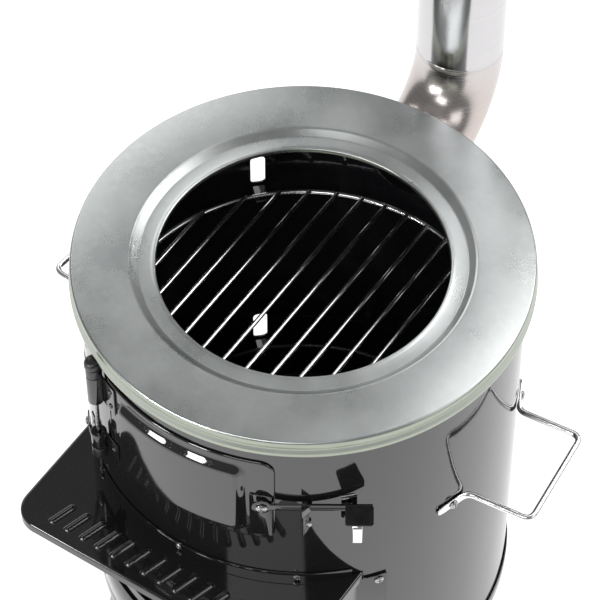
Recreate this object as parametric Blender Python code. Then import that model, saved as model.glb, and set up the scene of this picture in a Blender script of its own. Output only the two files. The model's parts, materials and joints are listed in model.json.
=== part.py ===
"""Rocket stove: a round enamelled drum with a pot ring, two grates, a hinged fuel door with a
swing latch, a front shelf over the feed mouth, an ash drawer, three folding legs and a chimney.

Units are metres. +Z is up, the front of the stove faces -Y, and the origin lies on the drum's
axis at the underside of its base plate. An azimuth is measured from the front, positive
towards +X.
"""
import math

import bmesh
import bpy
from mathutils import Matrix, Vector

# ---------------------------------------------------------------- driving dimensions
GAP = 0.0003            # clearance between pieces that touch
SHEET = 0.0015          # enamelled steel sheet
SEGMENTS = 48           # facets round the drum
PIPE_SEGMENTS = 24      # facets round the chimney

DRUM_R = 0.1976         # outer radius of the drum wall
DRUM_TOP = 0.4192       # top of the drum's rolled rim
HEM_TOP = 0.014         # height of the base pan's flange round the drum

RING_R = 0.205          # outer radius of the pot ring
RING_HOLE_R = 0.129     # radius of the pot hole
RING_STEP_R = 0.151     # where the ring slopes down to its inner part
RING_RECESS = 0.0055    # how far it slopes down
RING_TOP = 0.421        # top face of the ring
RING_SKIRT = 0.018      # depth of its outer skirt

GRATE_R = 0.178         # centre line of a grate's rim wire
RIM_WIRE = 0.00225      # radius of the rim wire
BAR_WIRE = 0.0021       # radius of the bar wire
WIRE_SIDES = 6
WELD_DEPTH = 0.0008     # how far a bar sinks into the rim where it is welded
COOK_GRATE_Z = 0.302    # rim wire heights
FIRE_GRATE_Z = 0.069
COOK_PITCH = 0.023      # distance between bars
FIRE_PITCH = 0.025

DOOR_LEFT, DOOR_RIGHT = -24.5, 26.5     # azimuths of the fuel door's edges, degrees
DOOR_LOW, DOOR_HIGH = 0.273, 0.383      # heights of its edges
DOOR_BULGE = 0.006                      # how far its pressed middle stands proud

HINGE_AZ, HINGE_R = -27.5, 0.2062       # where the door's hinge pin stands
PIN_R = 0.002
KNUCKLE_R, KNUCKLE_BORE = 0.0072, 0.0026

LATCH_AZ = 33.0         # azimuth that the straight latch lever is square to
LATCH_D = 0.2015        # distance of the lever's back face from the drum's axis
LATCH_Z = 0.328         # height of the lever's pivot
LATCH_PIVOT_T = -0.034  # pivot's place along the lever
KEEPER_T = 0.005        # the keeper's place along it
LEVER_THICK = 0.002

SHELF_HALF, SHELF_FRONT = 0.150, 0.252  # half width, and distance of the front edge
SHELF_TOP = 0.213
SHELF_FLANGE = 0.0095
SHELF_CORNER = 0.025

MOUTH_AZ, MOUTH_LOW, MOUTH_HIGH = 38.0, 0.078, 0.196    # feed mouth in the drum
DRAWER_AZ, DRAWER_LOW, DRAWER_HIGH = 36.0, 0.0160, 0.058  # drawer opening in the drum
DRAWER_HALF, DRAWER_BACK = 0.112, 0.090
DRAWER_FLOOR, DRAWER_RIM = 0.018, 0.0555

HANDLE_AZ = 95.0        # azimuth of each side handle's middle
HANDLE_Z = 0.259
HANDLE_HALF, HANDLE_OUT = 0.052, 0.256
HANDLE_WIRE = 0.003
HANDLE_TAB_END = 0.086
HANDLE_TAB = 0.0022     # thickness of the flattened ends

FLUE_AZ, FLUE_Z = 183.0, 0.358  # where the flue leaves the drum
FLUE_R = 0.0409         # bore of the flue collar
CHIMNEY_D = 0.285       # distance of the chimney's axis from the drum's
BEND_R = 0.072
PIPE_R, PIPE_WALL = 0.0407, 0.0008
SPIGOT_R, SPIGOT_LENGTH = 0.0395, 0.024
PIPE_LOW, PIPE_LENGTH = 0.4360, 0.300   # first pipe's lower edge, and each pipe's length
PIPE_COUNT = 3

LEG_AZIMUTHS = {"left": -36.0, "right": 36.0, "rear": 180.0}
LEG_PIVOT_R, LEG_PIVOT_Z = 0.183, -0.013
LEG_SPLAY = math.radians(10)
LEG_HEIGHT = 0.080      # base plate to floor
LEG_HALF = 0.020

REST_AZIMUTHS = (-134.0, -45.0, 45.0, 134.0)    # grate rests and the slots above them
SLOT_HALF_WIDTH, SLOT_HEIGHT = 0.007, 0.035

FINISHES = {            # base colour, roughness, metallic
    "enamel": ((0.012, 0.012, 0.014, 1), 0.12, 0.0),
    "zinc": ((0.62, 0.64, 0.61, 1), 0.34, 1.0),
    "chrome": ((0.80, 0.80, 0.82, 1), 0.12, 1.0),
    "stainless": ((0.72, 0.70, 0.68, 1), 0.16, 1.0),
    "fastener": ((0.50, 0.50, 0.51, 1), 0.28, 1.0),
    "black_fitting": ((0.02, 0.02, 0.02, 1), 0.38, 0.0),
}


# ---------------------------------------------------------------- helpers
def clear_scene():
    for old in list(bpy.data.objects):
        bpy.data.objects.remove(old, do_unlink=True)


def finish_material(name):
    """The Principled material of one finish, made the first time it is asked for."""
    material = bpy.data.materials.get(name)
    if material is None:
        colour, roughness, metallic = FINISHES[name]
        material = bpy.data.materials.new(name)
        material.use_nodes = True
        shader = material.node_tree.nodes["Principled BSDF"]
        shader.inputs["Base Color"].default_value = colour
        shader.inputs["Roughness"].default_value = roughness
        shader.inputs["Metallic"].default_value = metallic
        material.diffuse_color = colour
    return material


def polar(azimuth, radius, z):
    """The point at an azimuth in degrees, measured from the front (-Y) towards +X."""
    a = math.radians(azimuth)
    return Vector((radius * math.sin(a), -radius * math.cos(a), z))


def local_frame(azimuth):
    """Axes of a plane square to an azimuth: along it, out of it, and up, as matrix columns."""
    a = math.radians(azimuth)
    along = Vector((math.cos(a), math.sin(a), 0))
    outward = Vector((math.sin(a), -math.cos(a), 0))
    return Matrix((along, outward, Vector((0, 0, 1)))).transposed().to_4x4()


def make(name, bm, finish, frame=None):
    """Turn a bmesh into an object with outward normals, smooth shading and a material."""
    if frame is not None:
        bmesh.ops.transform(bm, matrix=frame, verts=bm.verts)
    bmesh.ops.recalc_face_normals(bm, faces=bm.faces)
    mesh = bpy.data.meshes.new(name)
    bm.to_mesh(mesh)
    bm.free()
    mesh.shade_smooth()
    mesh.set_sharp_from_angle(angle=math.radians(35))
    obj = bpy.data.objects.new(name, mesh)
    bpy.context.collection.objects.link(obj)
    mesh.materials.append(finish_material(finish))
    return obj


def combine(obj, others, operation):
    """Apply an exact Boolean with each of the other objects, which are then removed."""
    for other in others:
        modifier = obj.modifiers.new("boolean", "BOOLEAN")
        modifier.operation = operation
        modifier.solver = "EXACT"
        modifier.object = other
        bpy.context.view_layer.update()
        evaluated = obj.evaluated_get(bpy.context.evaluated_depsgraph_get())
        result = bpy.data.meshes.new_from_object(evaluated)
        obj.modifiers.clear()
        obj.data = result
        bpy.data.objects.remove(other, do_unlink=True)
    obj.data.name = obj.name
    obj.data.shade_smooth()
    obj.data.set_sharp_from_angle(angle=math.radians(35))
    return obj


def set_origin(obj, point):
    """Put an object's origin on its joint's axis, leaving its mesh where it is."""
    point = Vector(point)
    obj.data.transform(Matrix.Translation(-point))
    obj.location = point
    return obj


def revolve(bm, profile, segments, frame):
    """Turn a closed (radius, height) profile about the frame's Z axis."""
    rings = []
    for radius, height in profile:
        if radius == 0:
            rings.append([bm.verts.new(frame @ Vector((0, 0, height)))])
            continue
        ring = []
        for k in range(segments):
            a = 2 * math.pi * k / segments
            ring.append(bm.verts.new(frame @ Vector((radius * math.cos(a), radius * math.sin(a), height))))
        rings.append(ring)
    for low, high in zip(rings, rings[1:] + rings[:1]):
        if len(low) == 1 and len(high) == 1:
            continue
        for k in range(segments):
            n = (k + 1) % segments
            corners = [low[k % len(low)], low[n % len(low)], high[n % len(high)], high[k % len(high)]]
            bm.faces.new(list(dict.fromkeys(corners)))


def lathe(name, profile, finish, centre=(0, 0), segments=SEGMENTS, frame=None):
    """An object turned about a vertical axis at centre, or about another frame's Z axis."""
    bm = bmesh.new()
    place = frame if frame is not None else Matrix.Translation((centre[0], centre[1], 0))
    revolve(bm, profile, segments, place)
    return make(name, bm, finish)


def add_prism(bm, outline, low, high, order=(0, 1, 2)):
    """Extrude a 2-D outline between two levels; order says which axes its points run along."""
    layers = []
    for level in (low, high):
        layer = []
        for a, b in outline:
            raw = (a, b, level)
            layer.append(bm.verts.new([raw[order.index(axis)] for axis in range(3)]))
        layers.append(layer)
    count = len(outline)
    for k in range(count):
        n = (k + 1) % count
        bm.faces.new((layers[0][k], layers[0][n], layers[1][n], layers[1][k]))
    bm.faces.new(layers[0][::-1])
    bm.faces.new(layers[1])


def prism(name, outline, low, high, finish, order=(0, 1, 2), frame=None):
    bm = bmesh.new()
    add_prism(bm, outline, low, high, order)
    return make(name, bm, finish, frame)


def block(name, low, high, finish, frame=None):
    """A box between two corners."""
    outline = [(low[0], low[1]), (high[0], low[1]), (high[0], high[1]), (low[0], high[1])]
    return prism(name, outline, low[2], high[2], finish, frame=frame)


def rod_between(name, start, end, radius, finish, segments=16):
    """A straight round rod between two points."""
    start, end = Vector(start), Vector(end)
    turn = (end - start).to_track_quat("Z", "Y").to_matrix().to_4x4()
    length = (end - start).length
    profile = [(0, 0), (radius, 0), (radius, length), (0, length)]
    return lathe(name, profile, finish, segments=segments, frame=Matrix.Translation(start) @ turn)


def spread(start, end, steps):
    """Evenly spaced values from start to end."""
    return [start + (end - start) * k / steps for k in range(steps + 1)]


def curved_panel(name, inner, azimuths, heights, finish, thickness=SHEET, bulge=None):
    """A panel that follows a cylinder, with a grid line at each azimuth and height given.

    Where only two azimuths are given, grid lines are added about 3 degrees apart.
    bulge(azimuth, z) says how far the panel stands proud.
    """
    bm = bmesh.new()
    if len(azimuths) == 2:
        azimuths = spread(*azimuths, max(1, round((azimuths[1] - azimuths[0]) / 3)))
    columns, rows = len(azimuths) - 1, len(heights) - 1
    sides = []
    for depth in (0, thickness):
        side = []
        for azimuth in azimuths:
            column = []
            for z in heights:
                proud = bulge(azimuth, z) if bulge else 0
                column.append(bm.verts.new(polar(azimuth, inner + depth + proud, z)))
            side.append(column)
        sides.append(side)
    back, front = sides
    for i in range(columns):
        for j in range(rows):
            for side in sides:
                bm.faces.new((side[i][j], side[i + 1][j], side[i + 1][j + 1], side[i][j + 1]))
    for i in range(columns):
        for j in (0, rows):
            bm.faces.new((back[i][j], back[i + 1][j], front[i + 1][j], front[i][j]))
    for j in range(rows):
        for i in (0, columns):
            bm.faces.new((back[i][j], back[i][j + 1], front[i][j + 1], front[i][j]))
    return make(name, bm, finish)


def add_tube(bm, path, radii, sides, inner=None, closed=False):
    """Sweep a circle along a path, solid or with an inner wall."""
    count = len(path)
    walls = []
    normal = None
    frames = []
    for k, point in enumerate(path):
        before = path[(k - 1) % count] if closed or k else path[0]
        after = path[(k + 1) % count] if closed or k < count - 1 else path[-1]
        tangent = (after - before).normalized()
        if normal is None:
            helper = Vector((0, 0, 1)) if abs(tangent.z) < 0.9 else Vector((1, 0, 0))
            normal = tangent.cross(helper).normalized()
        normal = (normal - tangent * normal.dot(tangent)).normalized()
        frames.append((point, normal.copy(), tangent.cross(normal)))
    for wall in ([radii] if inner is None else [radii, inner]):
        rings = []
        for (point, side, up), radius in zip(frames, wall):
            turn = [2 * math.pi * s / sides for s in range(sides)]
            rings.append([bm.verts.new(point + (side * math.cos(a) + up * math.sin(a)) * radius) for a in turn])
        walls.append(rings)
    for rings in walls:
        pairs = list(zip(rings, rings[1:])) + ([(rings[-1], rings[0])] if closed else [])
        for low, high in pairs:
            for s in range(sides):
                n = (s + 1) % sides
                bm.faces.new((low[s], low[n], high[n], high[s]))
    if closed:
        return
    for end in (0, -1):
        if inner is None:
            bm.faces.new(walls[0][end])
            continue
        for s in range(sides):
            n = (s + 1) % sides
            bm.faces.new((walls[0][end][s], walls[0][end][n], walls[1][end][n], walls[1][end][s]))


def arc(centre, start, end, steps, radius):
    """Points on an arc in a plane, angles in degrees."""
    points = []
    for k in range(steps + 1):
        a = math.radians(start + (end - start) * k / steps)
        points.append((centre[0] + radius * math.cos(a), centre[1] + radius * math.sin(a)))
    return points


def rounded_path(corners, radius, steps=4):
    """A path through corners, with each inner corner rounded."""
    path = [corners[0]]
    for before, corner, after in zip(corners, corners[1:], corners[2:]):
        toward, away = (before - corner).normalized(), (after - corner).normalized()
        angle = toward.angle(away)
        setback = radius / math.tan(angle / 2)
        start, end = corner + toward * setback, corner + away * setback
        for k in range(steps + 1):
            f = k / steps
            path.append(start * (1 - f) ** 2 + corner * 2 * f * (1 - f) + end * f ** 2)
    path.append(corners[-1])
    return path


def screw_head(name, point, direction, radius, height):
    """A pan head that stands on a point and faces along a direction."""
    turn = Vector(direction).to_track_quat("Z", "Y").to_matrix().to_4x4()
    profile = [(0, 0), (radius, 0), (radius, height * 0.4), (radius * 0.72, height), (0, height)]
    return lathe(name, profile, "fastener", segments=10, frame=Matrix.Translation(point) @ turn)


def wall_screws(prefix, surface_r, spots, radius, height):
    """One screw head for each (azimuth, z) spot on a surface that follows the drum."""
    for number, (azimuth, z) in enumerate(spots, 1):
        point = polar(azimuth, surface_r + GAP, z)
        screw_head(f"{prefix}_{number}", point, polar(azimuth, 1, 0), radius, height)


# ---------------------------------------------------------------- drum
def drum_shell():
    inner = DRUM_R - SHEET
    low = SHEET + GAP
    profile = [(DRUM_R, low), (DRUM_R, DRUM_TOP - 0.007), (DRUM_R + 0.0018, DRUM_TOP - 0.005)]
    profile += [(DRUM_R + 0.0018, DRUM_TOP - 0.001), (DRUM_R + 0.0006, DRUM_TOP)]
    profile += [(inner + 0.0006, DRUM_TOP), (inner, DRUM_TOP - 0.001), (inner, low)]
    shell = lathe("drum_shell", profile, "enamel")
    wall = (DRUM_R - 0.006, 0.012)
    cutters = [
        curved_panel("door_cut", wall[0], (DOOR_LEFT + 3, DOOR_RIGHT - 3.5), (DOOR_LOW + 0.010, DOOR_HIGH - 0.010),
                     "enamel", wall[1]),
        curved_panel("mouth_cut", wall[0], (-MOUTH_AZ, MOUTH_AZ), (MOUTH_LOW, MOUTH_HIGH), "enamel", wall[1]),
        curved_panel("drawer_cut", wall[0], (-DRAWER_AZ, DRAWER_AZ), (DRAWER_LOW, DRAWER_HIGH), "enamel", wall[1]),
        flue_rod(0.17, 0.21, FLUE_R + 0.0027, 24),
    ]
    for azimuth in REST_AZIMUTHS:
        for rim in (COOK_GRATE_Z, FIRE_GRATE_Z):
            low_corner = (-SLOT_HALF_WIDTH, DRUM_R - 0.006, rim - 0.0015)
            high_corner = (SLOT_HALF_WIDTH, DRUM_R + 0.006, rim - 0.0015 + SLOT_HEIGHT)
            cutters.append(block("slot_cut", low_corner, high_corner, "enamel", local_frame(azimuth)))
    combine(shell, cutters, "DIFFERENCE")
    return combine(shell, grate_tabs(), "UNION")


def drum_base():
    outer = DRUM_R + GAP + 0.0002
    profile = [(0, 0), (outer + SHEET, 0), (outer + SHEET, HEM_TOP), (outer, HEM_TOP), (outer, SHEET), (0, SHEET)]
    return lathe("drum_base", profile, "enamel")


def pot_ring():
    top, skirt = RING_TOP, RING_TOP - RING_SKIRT
    floor, foot_r = top - RING_RECESS, RING_STEP_R - 0.0065
    profile = [(RING_R - 0.0015, skirt), (RING_R + 0.0005, skirt), (RING_R, skirt + 0.0045)]
    profile += [(RING_R, top - 0.0015), (RING_R - 0.0015, top), (RING_STEP_R, top), (foot_r, floor)]
    profile += [(RING_HOLE_R + 0.0015, floor + 0.0010), (RING_HOLE_R, floor - 0.0005), (RING_HOLE_R, floor - 0.0035)]
    profile += [(RING_HOLE_R + 0.0013, floor - 0.0035), (RING_HOLE_R + 0.0020, floor - 0.0007)]
    profile += [(foot_r + 0.0006, floor - 0.0015), (RING_STEP_R + 0.0006, top - 0.0015), (RING_R - 0.0015, top - 0.0015)]
    return lathe("pot_ring", profile, "zinc")


def grate_tabs():
    """Tabs lanced out of the wall under each slot and bent inwards, four for each grate."""
    root = DRUM_R - SHEET / 2
    tip, bend = DRUM_R - SHEET - 0.0235, DRUM_R - SHEET - SHEET
    tabs = []
    for rim in (COOK_GRATE_Z, FIRE_GRATE_Z):
        top = rim - RIM_WIRE - GAP
        outline = [(root, top - 0.010), (root, top), (tip, top), (tip, top - SHEET)]
        outline += [(bend, top - SHEET), (bend, top - 0.010)]
        for azimuth in REST_AZIMUTHS:
            tabs.append(prism("tab", outline, -0.0062, 0.0062, "enamel", (1, 2, 0), local_frame(azimuth)))
    return tabs


# ---------------------------------------------------------------- grates
def grate(name, rim_z, pitch, finish):
    """A wire rim with straight bars welded across it, laid front to back."""
    bm = bmesh.new()
    circle = [polar(360 * k / SEGMENTS, GRATE_R, rim_z) for k in range(SEGMENTS)]
    add_tube(bm, circle, [RIM_WIRE] * len(circle), WIRE_SIDES, closed=True)
    rim = make(name, bm, finish)
    bm = bmesh.new()
    bar_z = rim_z + RIM_WIRE + BAR_WIRE - WELD_DEPTH
    side_bars = int((GRATE_R - 0.004) / pitch)
    for k in range(-side_bars, side_bars + 1):
        x = k * pitch
        half = math.sqrt(GRATE_R ** 2 - x ** 2) + RIM_WIRE
        add_tube(bm, [Vector((x, -half, bar_z)), Vector((x, half, bar_z))], [BAR_WIRE] * 2, WIRE_SIDES)
    combine(rim, [make("bars", bm, finish)], "UNION")
    return set_origin(rim, (0, 0, rim_z))


# ---------------------------------------------------------------- fuel door, hinge and latch
def smooth_step(value):
    value = min(max(value, 0.0), 1.0)
    return value * value * (3 - 2 * value)


def door_bulge(azimuth, z):
    """Pressed middle of the door: a raised panel with sloping edges."""
    from_left = (azimuth - DOOR_LEFT - 5.0) / 2.2
    from_right = (DOOR_RIGHT - azimuth - 7.2) / 2.2
    from_low = (z - DOOR_LOW - 0.008) / 0.008
    from_high = (DOOR_HIGH - z - 0.008) / 0.008
    return DOOR_BULGE * smooth_step(min(from_left, from_right, from_low, from_high))


def fuel_door():
    inner = DRUM_R + 0.0007
    azimuths = [DOOR_LEFT, DOOR_LEFT + 2.5] + spread(DOOR_LEFT + 5.0, DOOR_LEFT + 7.2, 2)[:-1]
    azimuths += spread(DOOR_LEFT + 7.2, DOOR_RIGHT - 9.4, 12) + spread(DOOR_RIGHT - 9.4, DOOR_RIGHT - 7.2, 2)[1:]
    azimuths += [DOOR_RIGHT - 3.6, DOOR_RIGHT]
    heights = [DOOR_LOW] + spread(DOOR_LOW + 0.008, DOOR_LOW + 0.016, 2)
    heights += spread(DOOR_LOW + 0.016, DOOR_HIGH - 0.016, 3)[1:]
    heights += spread(DOOR_HIGH - 0.016, DOOR_HIGH - 0.008, 2)[1:] + [DOOR_HIGH]
    door = curved_panel("fuel_door", inner, azimuths, heights, "enamel", bulge=door_bulge)
    left, right = polar(DOOR_LEFT, inner + SHEET, 0).x, polar(DOOR_RIGHT, inner + SHEET, 0).x
    corner = 0.014
    outline = arc((right - corner, DOOR_HIGH - corner), 0, 90, 6, corner)
    outline += [(left - 0.001, DOOR_HIGH + 0.001), (left - 0.001, DOOR_LOW - 0.001)]
    outline += arc((right - corner, DOOR_LOW + corner), -90, 0, 6, corner)
    trim = prism("door_trim", outline, -0.23, -0.12, "enamel", order=(0, 2, 1))
    door = combine(door, [trim], "INTERSECT")
    return set_origin(door, hinge_point(DOOR_LOW))


def hinge_point(z):
    return polar(HINGE_AZ, HINGE_R, z)


def knuckle(name, strip_azimuths, strip_r, heights, finish):
    """A rolled knuckle on the hinge axis with its strip along the drum."""
    low, high = heights
    piece = curved_panel(name, strip_r, strip_azimuths, heights, finish)
    barrel = rod_between("barrel", hinge_point(low), hinge_point(high), KNUCKLE_R, finish, 20)
    bore = rod_between("bore", hinge_point(low - 0.01), hinge_point(high + 0.01), KNUCKLE_BORE, finish, 16)
    combine(piece, [barrel], "UNION")
    return combine(piece, [bore], "DIFFERENCE")


def hinge_parts():
    wall_strip = DRUM_R + 0.0007
    leaf_strip = wall_strip + SHEET + GAP
    knuckle("hinge_bracket_upper", (-38.0, HINGE_AZ), wall_strip, (0.3815, 0.392), "black_fitting")
    knuckle("hinge_bracket_lower", (-38.0, HINGE_AZ), wall_strip, (0.268, 0.2805), "black_fitting")
    upper = knuckle("door_leaf_upper", (HINGE_AZ, -20.5), leaf_strip, (0.346, 0.381), "enamel")
    lower = knuckle("door_leaf_lower", (HINGE_AZ, -20.5), leaf_strip, (0.281, 0.300), "enamel")
    x, y, _ = hinge_point(0)
    profile = [(0, 0.236), (0.0011, 0.236), (0.0011, 0.262), (PIN_R, 0.266), (PIN_R, 0.3925)]
    profile += [(0.0080, 0.3925), (0.0080, 0.3975), (0.0055, 0.4012), (0, 0.4020)]
    lathe("hinge_pin", profile, "black_fitting", centre=(x, y), segments=16)
    wall_screws("bracket_screw", wall_strip + SHEET, [(-35.2, 0.38675), (-35.2, 0.27425)], 0.0036, 0.002)
    for piece in (upper, lower):
        set_origin(piece, hinge_point(DOOR_LOW))


def latch_parts():
    frame = local_frame(LATCH_AZ)
    back, front = LATCH_D, LATCH_D + LEVER_THICK
    pivot_low = frame @ Vector((LATCH_PIVOT_T, back, LATCH_Z))
    pivot_high = frame @ Vector((LATCH_PIVOT_T, front, LATCH_Z))
    outward = (pivot_high - pivot_low).normalized()

    lever = block("latch_lever", (LATCH_PIVOT_T, back, LATCH_Z - 0.0042), (0.060, front, LATCH_Z + 0.0042),
                  "enamel", frame)
    additions = [
        rod_between("eye", pivot_low, pivot_high, 0.008, "enamel", 24),
        block("pad", (0.038, back + 0.0005, LATCH_Z + 0.0018), (0.062, 0.2235, LATCH_Z + 0.0038), "enamel", frame),
        block("tongue", (0.0435, 0.2217, LATCH_Z - 0.022), (0.0525, 0.2233, LATCH_Z + 0.0030), "enamel", frame),
    ]
    combine(lever, additions, "UNION")
    bore = rod_between("bore", pivot_low - outward * 0.01, pivot_high + outward * 0.01, 0.003, "enamel", 16)
    combine(lever, [bore], "DIFFERENCE")
    set_origin(lever, pivot_low)

    turn = Matrix.Translation(pivot_low) @ outward.to_track_quat("Z", "Y").to_matrix().to_4x4()
    head = LEVER_THICK + 0.0004
    profile = [(0, 0), (0.0026, 0), (0.0026, head), (0.0050, head), (0.0050, head + 0.001)]
    profile += [(0.0036, head + 0.0024), (0, head + 0.0028)]
    screw = lathe("latch_pivot_screw", profile, "fastener", segments=20, frame=turn)
    washer_profile = [(0, -0.0019), (0.005, -0.0019), (0.005, -GAP), (0, -GAP)]
    washer = lathe("latch_spacer", washer_profile, "fastener", segments=20, frame=turn)

    plate_inner = DRUM_R + 0.0007 + SHEET + GAP
    plate = curved_panel("latch_plate", plate_inner, (20.2, 25.8), (0.281, 0.338), "enamel", 0.0012)
    for piece in (screw, washer, plate):
        set_origin(piece, hinge_point(DOOR_LOW))

    wall = DRUM_R + 0.0005
    low, seat, lip = LATCH_Z - 0.039, LATCH_Z - 0.0059, LATCH_Z + 0.003
    outline = [(wall, low), (wall + SHEET, low), (wall + SHEET, seat - SHEET), (0.206, seat - SHEET)]
    outline += [(0.206, lip), (0.206 - SHEET, lip), (0.206 - SHEET, seat), (wall, seat)]
    middle = KEEPER_T
    prism("latch_keeper", outline, middle - 0.0065, middle + 0.0065, "black_fitting", order=(1, 2, 0), frame=frame)
    screw_head("keeper_screw", frame @ Vector((middle, wall + SHEET + GAP, low + 0.010)), outward, 0.0042, 0.0022)


# ---------------------------------------------------------------- shelf and feed mouth
def shelf_outline(inset, back_r):
    """The shelf's plan: an arc against the drum, straight sides and rounded front corners."""
    half, front = SHELF_HALF - inset, -SHELF_FRONT + inset
    radius = SHELF_CORNER - inset
    meet = math.degrees(math.asin(half / back_r))
    points = [tuple(polar(meet - 2 * meet * k / 36, back_r, 0).xy) for k in range(37)]
    points += arc((-half + radius, front + radius), 180, 270, 6, radius)
    points += arc((half - radius, front + radius), 270, 360, 6, radius)
    return points


def front_shelf():
    wall = DRUM_R + 0.0007
    shelf = prism("front_shelf", shelf_outline(0, wall), SHELF_TOP - SHELF_FLANGE, SHELF_TOP, "enamel")
    pocket = prism("pocket", shelf_outline(SHEET, wall - 0.004), 0.19, SHELF_TOP - SHEET, "enamel")
    combine(shelf, [pocket], "DIFFERENCE")
    rear = curved_panel("rear", wall, (-46, 46), (SHELF_TOP - 0.001, SHELF_TOP + 0.009), "enamel")
    combine(shelf, [rear], "UNION")
    spots = [(azimuth, SHELF_TOP + 0.0048) for azimuth in (-32, 0, 32)]
    wall_screws("shelf_screw", wall + SHEET, spots, 0.0034, 0.0018)


def wing(name, side):
    """A side wall that closes the space under the shelf, with its flange on the drum."""
    inner, outer = 0.1452, 0.1467
    top = SHELF_TOP - SHEET - GAP
    outline = [(-0.1348, top), (-0.234, top), (-0.234, 0.190), (-0.150, 0.030), (-0.1348, 0.030)]
    levels = (inner, outer) if side > 0 else (-outer, -inner)
    plate = prism(name, outline, levels[0], levels[1], "enamel", order=(1, 2, 0))
    azimuths = (47.2, 55.5) if side > 0 else (-55.5, -47.2)
    flange = curved_panel("flange", DRUM_R + 0.0007, azimuths, (0.030, 0.203), "enamel")
    return combine(plate, [flange], "UNION")


def wing_parts():
    wing("mouth_wing_left", -1)
    wing("mouth_wing_right", 1)
    spots = [(side * 53.2, z) for side in (-1, 1) for z in (0.197, 0.048)]
    wall_screws("wing_screw", DRUM_R + 0.0007 + SHEET, spots, 0.0042, 0.0022)


# ---------------------------------------------------------------- ash drawer
def drawer_outline(inset, front_r):
    half = DRAWER_HALF - inset
    meet = math.degrees(math.asin(half / front_r))
    points = [tuple(polar(-meet + 2 * meet * k / 24, front_r, 0).xy) for k in range(25)]
    return points + [(half, DRAWER_BACK - inset), (-half, DRAWER_BACK - inset)]


def ash_drawer():
    front_r = DRUM_R + 0.0005
    tray = prism("ash_drawer", drawer_outline(0, front_r), DRAWER_FLOOR, DRAWER_RIM, "enamel")
    hollow = prism("hollow", drawer_outline(SHEET, front_r - SHEET), DRAWER_FLOOR + SHEET, 0.07, "enamel")
    combine(tray, [hollow], "DIFFERENCE")
    front = curved_panel("drawer_front", front_r + GAP, (-38.5, 38.5), (HEM_TOP + 0.001, 0.0605), "enamel")
    face = front_r + GAP + SHEET
    z = 0.038
    corners = [Vector((-0.036, -face - GAP, z)), Vector((-0.036, -face - 0.022, z))]
    corners += [Vector((0.036, -face - 0.022, z)), Vector((0.036, -face - GAP, z))]
    path = rounded_path(corners, 0.007)
    bm = bmesh.new()
    add_tube(bm, path, [0.0025] * len(path), 8)
    handle = make("drawer_handle", bm, "chrome")
    for piece in (tray, front, handle):
        set_origin(piece, (0, -front_r, DRAWER_FLOOR))


def drawer_rail(name, side):
    """A hollow rectangular runner that the drawer slides on."""
    x0, x1 = sorted((side * 0.094, side * 0.106))
    low, high, wall = SHEET + GAP, DRAWER_FLOOR - GAP, 0.0012
    rail = block(name, (x0, -0.150, low), (x1, 0.088, high), "enamel")
    bore = block("bore", (x0 + wall, -0.16, low + wall), (x1 - wall, 0.10, high - wall), "enamel")
    return combine(rail, [bore], "DIFFERENCE")


# ---------------------------------------------------------------- carrying handles
def side_handle(name, azimuth):
    """A wire bail with a flattened, screwed-down tab at each end."""
    frame = local_frame(azimuth)
    foot = 0.1926
    corners = [(-HANDLE_HALF, foot), (-HANDLE_HALF, HANDLE_OUT), (HANDLE_HALF, HANDLE_OUT), (HANDLE_HALF, foot)]
    path = rounded_path([frame @ Vector((t, d, HANDLE_Z)) for t, d in corners], 0.009)
    bm = bmesh.new()
    add_tube(bm, path, [HANDLE_WIRE] * len(path), 8)
    handle = make(name, bm, "chrome")
    tab_r = DRUM_R + 0.0006
    inner = math.degrees(math.asin((HANDLE_HALF - HANDLE_WIRE) / tab_r))
    outer = math.degrees(math.asin(HANDLE_TAB_END / tab_r))
    tabs = []
    for side in (-1, 1):
        span = sorted((azimuth + side * inner, azimuth + side * outer))
        tabs.append(curved_panel("tab", tab_r, span, (HANDLE_Z - 0.005, HANDLE_Z + 0.005), "chrome", HANDLE_TAB))
    return combine(handle, tabs, "UNION")


def handle_parts():
    side_handle("handle_right", HANDLE_AZ)
    side_handle("handle_left", -HANDLE_AZ)
    screw_angle = math.degrees(math.asin(0.068 / DRUM_R))
    spots = [(side * HANDLE_AZ + end * screw_angle, HANDLE_Z) for side in (-1, 1) for end in (-1, 1)]
    wall_screws("handle_screw", DRUM_R + 0.0006 + HANDLE_TAB, spots, 0.0044, 0.0026)


# ---------------------------------------------------------------- flue and chimney
def flue_rod(start, end, radius, segments):
    """A level rod along the flue outlet between two distances from the drum's axis."""
    return rod_between("flue_rod", polar(FLUE_AZ, start, FLUE_Z), polar(FLUE_AZ, end, FLUE_Z), radius, "enamel", segments)


def flue_collar():
    """A stub with a saddle flange that follows the drum."""
    collar = curved_panel("flue_collar", DRUM_R + 0.0007, (FLUE_AZ - 16, FLUE_AZ + 16), (FLUE_Z - 0.050, FLUE_Z + 0.050),
                          "enamel")
    combine(collar, [flue_rod(0.15, 0.25, 0.0495, 32)], "INTERSECT")
    combine(collar, [flue_rod(0.190, CHIMNEY_D - BEND_R, FLUE_R + 0.0012, 24)], "UNION")
    return combine(collar, [flue_rod(0.15, 0.25, FLUE_R, 24)], "DIFFERENCE")


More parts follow.
